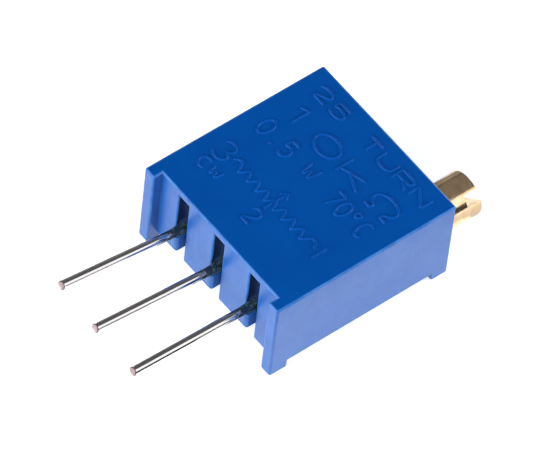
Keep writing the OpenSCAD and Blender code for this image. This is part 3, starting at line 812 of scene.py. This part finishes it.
def makeThreadTree():
    tree, given, result = newTree("wormThread", [
        ("Turns", "Float"), ("Height", "Float"), ("Points", "Int"), ("Start", "Float"),
        ("Place", "Vector"), ("Material", "Material"), ("Section", "Object")])
    link = tree.links.new
    spiral = addNode(tree, "GeometryNodeCurveSpiral", {"Start Radius": 1.0, "End Radius": 1.0})
    link(given["Turns"], spiral.inputs["Rotations"])
    link(given["Height"], spiral.inputs["Height"])
    link(given["Points"], spiral.inputs["Resolution"])
    upright = addNode(tree, "GeometryNodeSetCurveNormal", mode="Z_UP")
    link(spiral.outputs["Curve"], upright.inputs["Curve"])
    swept = sweep(tree, upright.outputs["Curve"], objectShape(tree, given["Section"]))
    aimed = addNode(tree, "ShaderNodeCombineXYZ")
    link(given["Start"], aimed.inputs["Z"])
    turned = addNode(tree, "GeometryNodeTransform")
    link(swept, turned.inputs["Geometry"])
    link(aimed.outputs["Vector"], turned.inputs["Rotation"])
    laid = addNode(tree, "GeometryNodeTransform", {"Rotation": (-math.pi / 2, 0, 0)})
    link(turned.outputs["Geometry"], laid.inputs["Geometry"])
    link(given["Place"], laid.inputs["Translation"])
    painted = paint(tree, laid.outputs["Geometry"], given["Material"])
    link(painted, result)
    return tree


def makeThread(look):
    teeth = round(abs(1 / frame["record"]["behaviour"]["couplings"][0]["ratio"]))
    wormR = look["wormPitchRadius"]
    wheelR = screwPivot.x - wheelPivot.x - wormR
    lead = 2 * math.pi * wheelR / teeth
    slope = math.tan(math.radians(look["flank"]))

    def half(r):
        return lead / 4 - look["play"] - (r - wormR) * slope

    low, high = look["coreRadius"] - look["sink"], look["tipRadius"]
    # the spiral has radius 1, so the section's places are measured from there
    section = [(1 - low, -half(low)), (1 - high, -half(high)), (1 - high, half(high)), (1 - low, half(low))]
    profile = curveFrom("threadSection", [([(x, y, 0) for x, y in section], True)])
    first = (look["threadLow"] - wheelPivot.y) / lead + 0.5
    last = (look["threadHigh"] - wheelPivot.y) / lead - 0.5
    draft = curveFrom("threadDraft", [([(0, 0, 0), (0, 0, 1)], False)])
    runTree(draft, makeThreadTree(), {
        "Turns": last - first, "Height": (last - first) * lead, "Points": look["pointsPerTurn"],
        "Start": first * 2 * math.pi, "Section": profile, "Material": brass,
        "Place": (screwPivot.x, wheelPivot.y + first * lead, screwPivot.z)})
    thread = applied(draft)
    bpy.data.objects.remove(profile)
    return thread


def makeScrew(look):
    r, c = look["radius"], look["chamfer"]
    core, tail = look["coreRadius"], look["tailRadius"]
    e = look["edge"]
    profile = [(screwLow.y, tail - e), (screwLow.y + e, tail), (look["tailY"], tail), (look["tailY"], core),
               (look["bearingY"], core), (look["bearingY"], r)]
    for low, high, depth in (look["clipGroove"], look["sealGroove"]):
        profile += [(low, r), (low, depth), (high, depth), (high, r)]
    # the edge of the head is rounded over by three points
    profile += [(screwHigh.y - c, r), (screwHigh.y - c / 3, r - c / 3 * look["brow"]), (screwHigh.y, r - c)]
    bm = bmesh.new()
    latheAroundY(bm, profile, look["sides"], Vector((screwPivot.x, 0, screwPivot.z)))
    mesh = meshFrom("screwDraft", bm)
    draft = newObject("screwDraft", mesh)
    # the slot's blade is longer than the head is wide, and half of it stands above the end
    cutter = bmesh.new()
    bmesh.ops.create_cube(cutter, size=1)
    depth = look["slotDepth"]
    bmesh.ops.scale(cutter, vec=(4 * r, 2 * depth, look["slotWidth"]), verts=cutter.verts)
    turn = Matrix.Rotation(-math.radians(look["slotAngle"]), 4, "Y")
    bmesh.ops.transform(cutter, matrix=Matrix.Translation((screwPivot.x, screwHigh.y, screwPivot.z)) @ turn,
                        verts=cutter.verts)
    blade = newObject("slotCutter", meshFrom("slotCutter", cutter))
    cut = draft.modifiers.new("slot", "BOOLEAN")
    cut.object, cut.operation, cut.solver = blade, "DIFFERENCE", "EXACT"
    bevel = draft.modifiers.new("bevel", "BEVEL")
    bevel.limit_method, bevel.angle_limit = "ANGLE", math.radians(40)
    bevel.width, bevel.segments = e, 3
    turned = applied(draft)
    bpy.data.objects.remove(blade)
    bm = bmesh.new()
    bm.from_mesh(turned)
    bm.from_mesh(makeThread(look))
    mesh = meshFrom("screwDraft", bm)
    shade(mesh, 40)
    draft = newObject("screwDraft", mesh)
    keepFlat(draft)
    screw = settle(draft, "adjustmentScrewTurned", brass)
    handOver(screw, "screw", "brass", "adjustment_screw")


makeScrew(screwLook)
print("screw made")

# raised marks on the face

markLook = {"width": 0.17, "height": 0.055, "shoulder": 0.062, "sunk": 0.02, "steps": 10, "spacing": 0.045,
            "fillet": 0.06, "taper": 0.1}

# text, left edge, baseline, top, glyph width, pitch
markRows = [
    ("25 TURN", -3.95, 8.65, 9.35, 0.95, 1.15),
    ("10kΩ", -3.95, 6.85, 7.9, 1.6, 2.02),
    ("0.5 W", -3.85, 5.35, 6.3, 0.65, 0.77),
    ("70°C", 1.05, 5.35, 6.3, 0.56, 0.69),
    ("3", -3.92, 2.95, 4.05, 0.84, 1.0),
    ("1", 3.0, 3.0, 3.98, 0.5, 1.0),
    ("2", -0.35, 1.88, 2.75, 0.65, 1.0),
    ("CW", -3.85, 2.08, 2.68, 0.6, 0.75),
]


def bow(x, y, rx, ry, first, last, steps=14):
    # part of an ellipse, angles in degrees
    return [(x + rx * math.cos(math.radians(a)), y + ry * math.sin(math.radians(a)))
            for a in (first + (last - first) * i / steps for i in range(steps + 1))]


def ring(x, y, rx, ry, steps=24):
    return bow(x, y, rx, ry, 0, 360 - 360 / steps, steps - 1)


# strokes in a cell one wide and one high; those of closedGlyphs run back to their start
glyphs = {
    "0": [ring(0.5, 0.5, 0.46, 0.5)],
    "1": [[(0.28, 0.84), (0.55, 1), (0.55, 0)]],
    "2": [bow(0.48, 0.7, 0.44, 0.3, 170, -30) + [(0, 0), (1, 0)]],
    "3": [bow(0.45, 0.75, 0.42, 0.25, 160, -80), bow(0.45, 0.27, 0.5, 0.27, 85, -160)],
    "5": [[(0.92, 1), (0.14, 1), (0.08, 0.56)] + bow(0.46, 0.33, 0.48, 0.33, 115, -150)],
    "7": [[(0, 1), (1, 1), (0.35, 0)]],
    ".": [ring(0.5, 0.04, 0.05, 0.04, 10)],
    "°": [ring(0.4, 0.84, 0.26, 0.16, 16)],
    "C": [bow(0.54, 0.5, 0.5, 0.5, 48, 312)],
    "T": [[(0, 1), (1, 1)], [(0.5, 1), (0.5, 0)]],
    "U": [[(0, 1), (0, 0.38)] + bow(0.48, 0.38, 0.48, 0.38, 190, 350) + [(0.96, 0.38), (0.96, 1)]],
    "R": [[(0, 0), (0, 1), (0.6, 1)] + bow(0.62, 0.74, 0.34, 0.26, 80, -80) + [(0, 0.48)],
          [(0.48, 0.48), (1, 0)]],
    "N": [[(0, 0), (0, 1), (1, 0), (1, 1)]],
    "k": [[(0, 1), (0, 0)], [(0.85, 0.68), (0, 0.26)], [(0.3, 0.42), (0.95, 0)]],
    "W": [[(0, 1), (0.24, 0), (0.5, 0.85), (0.76, 0), (1, 1)]],
    "Ω": [[(0, 0), (0.3, 0)] + bow(0.5, 0.58, 0.46, 0.42, 240, -60) + [(0.7, 0), (1, 0)]],
}
closedGlyphs = "0.°"

resistorLook = {"left": -2.25, "step": 0.3143, "points": 15, "valley": 3.22, "peak": 3.76,
                "leadIn": [(-2.95, 3.5), (-2.78, 3.72), (-2.55, 3.76)],
                "leadOut": [(2.5, 3.76), (2.75, 3.7), (2.98, 3.4)],
                "arrow": [(-0.27, 4.0), (-0.05, 4.38), (0.17, 4.02)],
                "stem": [(-0.05, 4.36), (-0.05, 2.95)]}


def faceStrokes():
    strokes = []
    for text, left, low, high, width, pitch in markRows:
        for i, letter in enumerate(text):
            for stroke in glyphs.get(letter, []):
                points = [(left + i * pitch + x * width, low + y * (high - low), faceZ) for x, y in stroke]
                strokes.append((points, letter in closedGlyphs))
    look = resistorLook
    zigzag = [(look["left"] + i * look["step"], look["peak"] if i % 2 else look["valley"])
              for i in range(look["points"])]
    for line in (look["leadIn"] + zigzag + look["leadOut"], look["arrow"], look["stem"]):
        strokes.append(([(x, y, faceZ) for x, y in line], False))
    return strokes


def makeMarkTree():
    tree, given, result = newTree("raisedMark", [
        ("Spacing", "Float"), ("Fillet", "Float"), ("Taper", "Float"), ("Section", "Object"),
        ("Material", "Material")])
    link = tree.links.new
    rounded = addNode(tree, "GeometryNodeFilletCurve", {"Count": 4, "Limit Radius": True}, mode="POLY")
    link(given["Geometry"], rounded.inputs["Curve"])
    link(given["Fillet"], rounded.inputs["Radius"])
    even = addNode(tree, "GeometryNodeResampleCurve", mode="LENGTH")
    link(rounded.outputs["Curve"], even.inputs["Curve"])
    link(given["Spacing"], even.inputs["Length"])
    flat = addNode(tree, "GeometryNodeSetCurveNormal", mode="Z_UP")
    link(even.outputs["Curve"], flat.inputs["Curve"])
    # open strokes run out in a rounded end
    nearer = addNode(tree, "ShaderNodeMath", operation="MINIMUM")
    for socket, length in zip(nearer.inputs, lengths(tree)):
        link(length, socket)
    closed = addNode(tree, "GeometryNodeInputSplineCyclic")
    far = addNode(tree, "ShaderNodeMath", operation="ADD")
    link(nearer.outputs["Value"], far.inputs[0])
    link(closed.outputs["Cyclic"], far.inputs[1])
    size = addNode(tree, "ShaderNodeMapRange", {"From Min": 0.0, "To Min": 0.35, "To Max": 1.0},
                   interpolation_type="SMOOTHSTEP")
    link(far.outputs["Value"], size.inputs["Value"])
    link(given["Taper"], size.inputs["From Max"])
    section = objectShape(tree, given["Section"])
    swept = sweep(tree, flat.outputs["Curve"], section, size.outputs["Result"])
    smooth = addNode(tree, "GeometryNodeSetShadeSmooth")
    link(swept, smooth.inputs["Geometry"])
    painted = paint(tree, smooth.outputs["Geometry"], given["Material"])
    link(painted, result)
    return tree


def makeMarks(look):
    # the section is a low flat-topped ridge whose foot lies under the face; its Y points down
    half = look["width"] / 2
    ridge = []
    for i in range(look["steps"] + 1):
        x = half * (2 * i / look["steps"] - 1)
        rise = min(1, (half - abs(x)) / look["shoulder"])
        ridge.append((x, -look["height"] * (0.5 - 0.5 * math.cos(math.pi * rise)), 0))
    section = [(-half, look["sunk"], 0)] + ridge + [(half, look["sunk"], 0)]
    profile = curveFrom("markSection", [(section, True)])
    draft = curveFrom("markDraft", faceStrokes())
    runTree(draft, makeMarkTree(), {
        "Spacing": look["spacing"], "Fillet": look["fillet"], "Taper": look["taper"], "Section": profile,
        "Material": blueFace})
    marks = settle(draft, "raisedMarks")
    bpy.data.objects.remove(profile)
    shade(marks.data, 60)
    handOver(marks, "case", "body_plastic")


makeMarks(markLook)
print("marks made")

# floor, light and camera

studio = {"floorSize": 2.0, "floorColour": 0.80, "cameraLift": 0.55, "glossLift": 0.80, "room": 0.122,
          "away": 0.40}


def lying(height, *corners):
    # a level sheet, with its height above the floor
    return [(x, y, height) for x, y in corners]


def standing(x, first, last, low, high):
    # a standing sheet across X, from one Y to another
    return [(x, first, low), (x, last, low), (x, last, high), (x, first, high)]


# grey sheets, seen only in gloss: how pale, then the corners in millimetres
flags = {
    "flagRight": (0.02, lying(0.02, (6.2, -60), (160, -60), (160, 78), (8.6, 9), (8.6, 0.5), (7.6, 0.5),
                              (7.6, -2.8), (6.2, -4.5))),
    "flagLeft": (0.02, lying(0.02, (-160, -60), (-8.6, -60), (-8.6, 11), (-160, 11))),
    "flagScrew": (0.02, standing(30, 18, 60, 0.02, 15)),
    "flagWires": (0.02, standing(5.6, -60, -1.3, 0.02, 2.5)),
    "flagBehind": (0.24, lying(0.02, (-160, 11), (-1.8, 11), (-1.8, 13.2), (-4.9, 15.6), (-4.9, 100),
                               (-160, 100))),
    "flagUnder": (0.30, lying(0.02, (-1.8, 10.9), (2.3, 10.9), (2.3, 22), (-1.8, 22))),
    "flagFar": (0.24, standing(-90, 30, 80, 0.03, 23)),
    "flagAbove": (0.24, lying(23, (-90, 14), (12, 14), (12, 34), (-90, 34))),
    "flagBeside": (0.95, lying(0.03, (2.4, 12.6), (7.5, 12.6), (7.5, 9.5), (18, 9.5), (18, 24), (2.4, 24))),
}

# soft cards around the object: direction, width and length in metres, brightness
cards = {
    "sideCard": ((0.728, 0.411, 0.549), 0.366, 0.32, 1.25),
    "lowRight": ((0.85, -0.55, 0.28), 0.30, 0.26, 3.2),
    "lowFront": ((-0.25, -0.90, 0.34), 0.44, 0.26, 7.5),
    "lowBack": ((-0.34, 0.90, 0.16), 0.34, 0.16, 3.2),
    "rightBack": ((0.60, 0.77, 0.24), 0.30, 0.12, 12.4),
}


def aimCard(name, direction, wide, long, brightness):
    light = bpy.data.lights.new(name, "AREA")
    light.shape = "RECTANGLE"
    light.size, light.size_y = wide, long
    light.energy = brightness * math.pi * wide * long
    card = newObject(name, light)
    back = Vector(direction).normalized()
    along = (Vector((0, 1, 0)) - back * back.y).normalized()
    side = along.cross(back)
    card.matrix_world = (Matrix.Translation(back * studio["away"])
                         @ Matrix((side, along, back)).transposed().to_4x4())


def whenSeen(tree, camera, gloss):
    # nothing for light that falls on things, one strength for the camera, one for gloss and glass
    link = tree.links.new
    path = addNode(tree, "ShaderNodeLightPath")
    mirrored = addNode(tree, "ShaderNodeMath", operation="MAXIMUM")
    link(path.outputs["Is Glossy Ray"], mirrored.inputs[0])
    link(path.outputs["Is Transmission Ray"], mirrored.inputs[1])
    total = addNode(tree, "ShaderNodeMath", operation="ADD")
    link(remap(tree, path.outputs["Is Camera Ray"], 0, 1, 0, camera), total.inputs[0])
    link(remap(tree, mirrored.outputs["Value"], 0, 1, 0, gloss), total.inputs[1])
    return total.outputs["Value"]


def stageSheet(name, corners):
    # corners in millimetres, z above the floor
    bm = bmesh.new()
    bm.faces.new([bm.verts.new((x * mm, y * mm, (z + backZ) * mm)) for x, y, z in corners])
    sheet = newObject(name, meshFrom(name, bm))
    return sheet


def makeStudio(look):
    half = look["floorSize"] / mm / 2
    floor = stageSheet("floor", [(-half, -half, 0), (half, -half, 0), (half, half, 0), (-half, half, 0)])
    material, tree, bsdf = newMaterial("paleFloor")
    tree.nodes.remove(bsdf)
    paper = addNode(tree, "ShaderNodeBsdfDiffuse", {"Color": (look["floorColour"],) * 3 + (1,)})
    glow = addNode(tree, "ShaderNodeEmission")
    tree.links.new(whenSeen(tree, look["cameraLift"], look["glossLift"]), glow.inputs["Strength"])
    both = addNode(tree, "ShaderNodeAddShader")
    tree.links.new(paper.outputs["BSDF"], both.inputs[0])
    tree.links.new(glow.outputs["Emission"], both.inputs[1])
    tree.links.new(both.outputs["Shader"], tree.nodes["Material Output"].inputs["Surface"])
    floor.data.materials.append(material)

    for name, (grey, corners) in flags.items():
        flag = stageSheet(name, corners)
        cloth, tree, bsdf = newMaterial(name)
        bsdf.inputs["Base Color"].default_value = (grey, grey, grey, 1)
        bsdf.inputs["Roughness"].default_value = 1.0
        flag.data.materials.append(cloth)
        flag.visible_camera = flag.visible_diffuse = flag.visible_shadow = flag.visible_transmission = False

    world = bpy.data.worlds.new("room")
    bpy.context.scene.world = world
    world.use_nodes = True
    tree = world.node_tree
    background = tree.nodes["Background"]
    path = addNode(tree, "ShaderNodeLightPath")
    level = remap(tree, path.outputs["Is Camera Ray"], 0, 1, look["room"], 1.0)
    tree.links.new(level, background.inputs["Strength"])
    background.inputs["Color"].default_value = (1, 1, 1, 1)
    for name, (direction, wide, long, brightness) in cards.items():
        aimCard(name, direction, wide, long, brightness)


cameraPlace = {"aim": (-0.57197, 3.98481, -0.21158), "away": 353.427, "azimuth": 46.449,
               "elevation": 53.403, "roll": 7.1046, "lens": 533.333, "sensor": 36, "clip": (0.01, 10)}


def makeCamera(look):
    azimuth, elevation, roll = (math.radians(look[key]) for key in ("azimuth", "elevation", "roll"))
    back = Vector((math.sin(azimuth) * math.cos(elevation), -math.cos(azimuth) * math.cos(elevation),
                   math.sin(elevation)))
    level = (-back).cross(Vector((0, 0, 1))).normalized()
    rise = level.cross(-back)
    right = math.cos(roll) * level + math.sin(roll) * rise
    up = back.cross(right)
    data = bpy.data.cameras.new("camera")
    data.lens, data.sensor_width = look["lens"], look["sensor"]
    data.clip_start, data.clip_end = look["clip"]
    camera = newObject("camera", data)
    turn = Matrix((right, up, back)).transposed().to_4x4()
    camera.matrix_world = Matrix.Translation((Vector(look["aim"]) + back * look["away"]) * mm) @ turn
    bpy.context.scene.camera = camera


makeStudio(studio)
makeCamera(cameraPlace)
bpy.context.scene.view_settings.view_transform = "Standard"
print("studio and camera made")
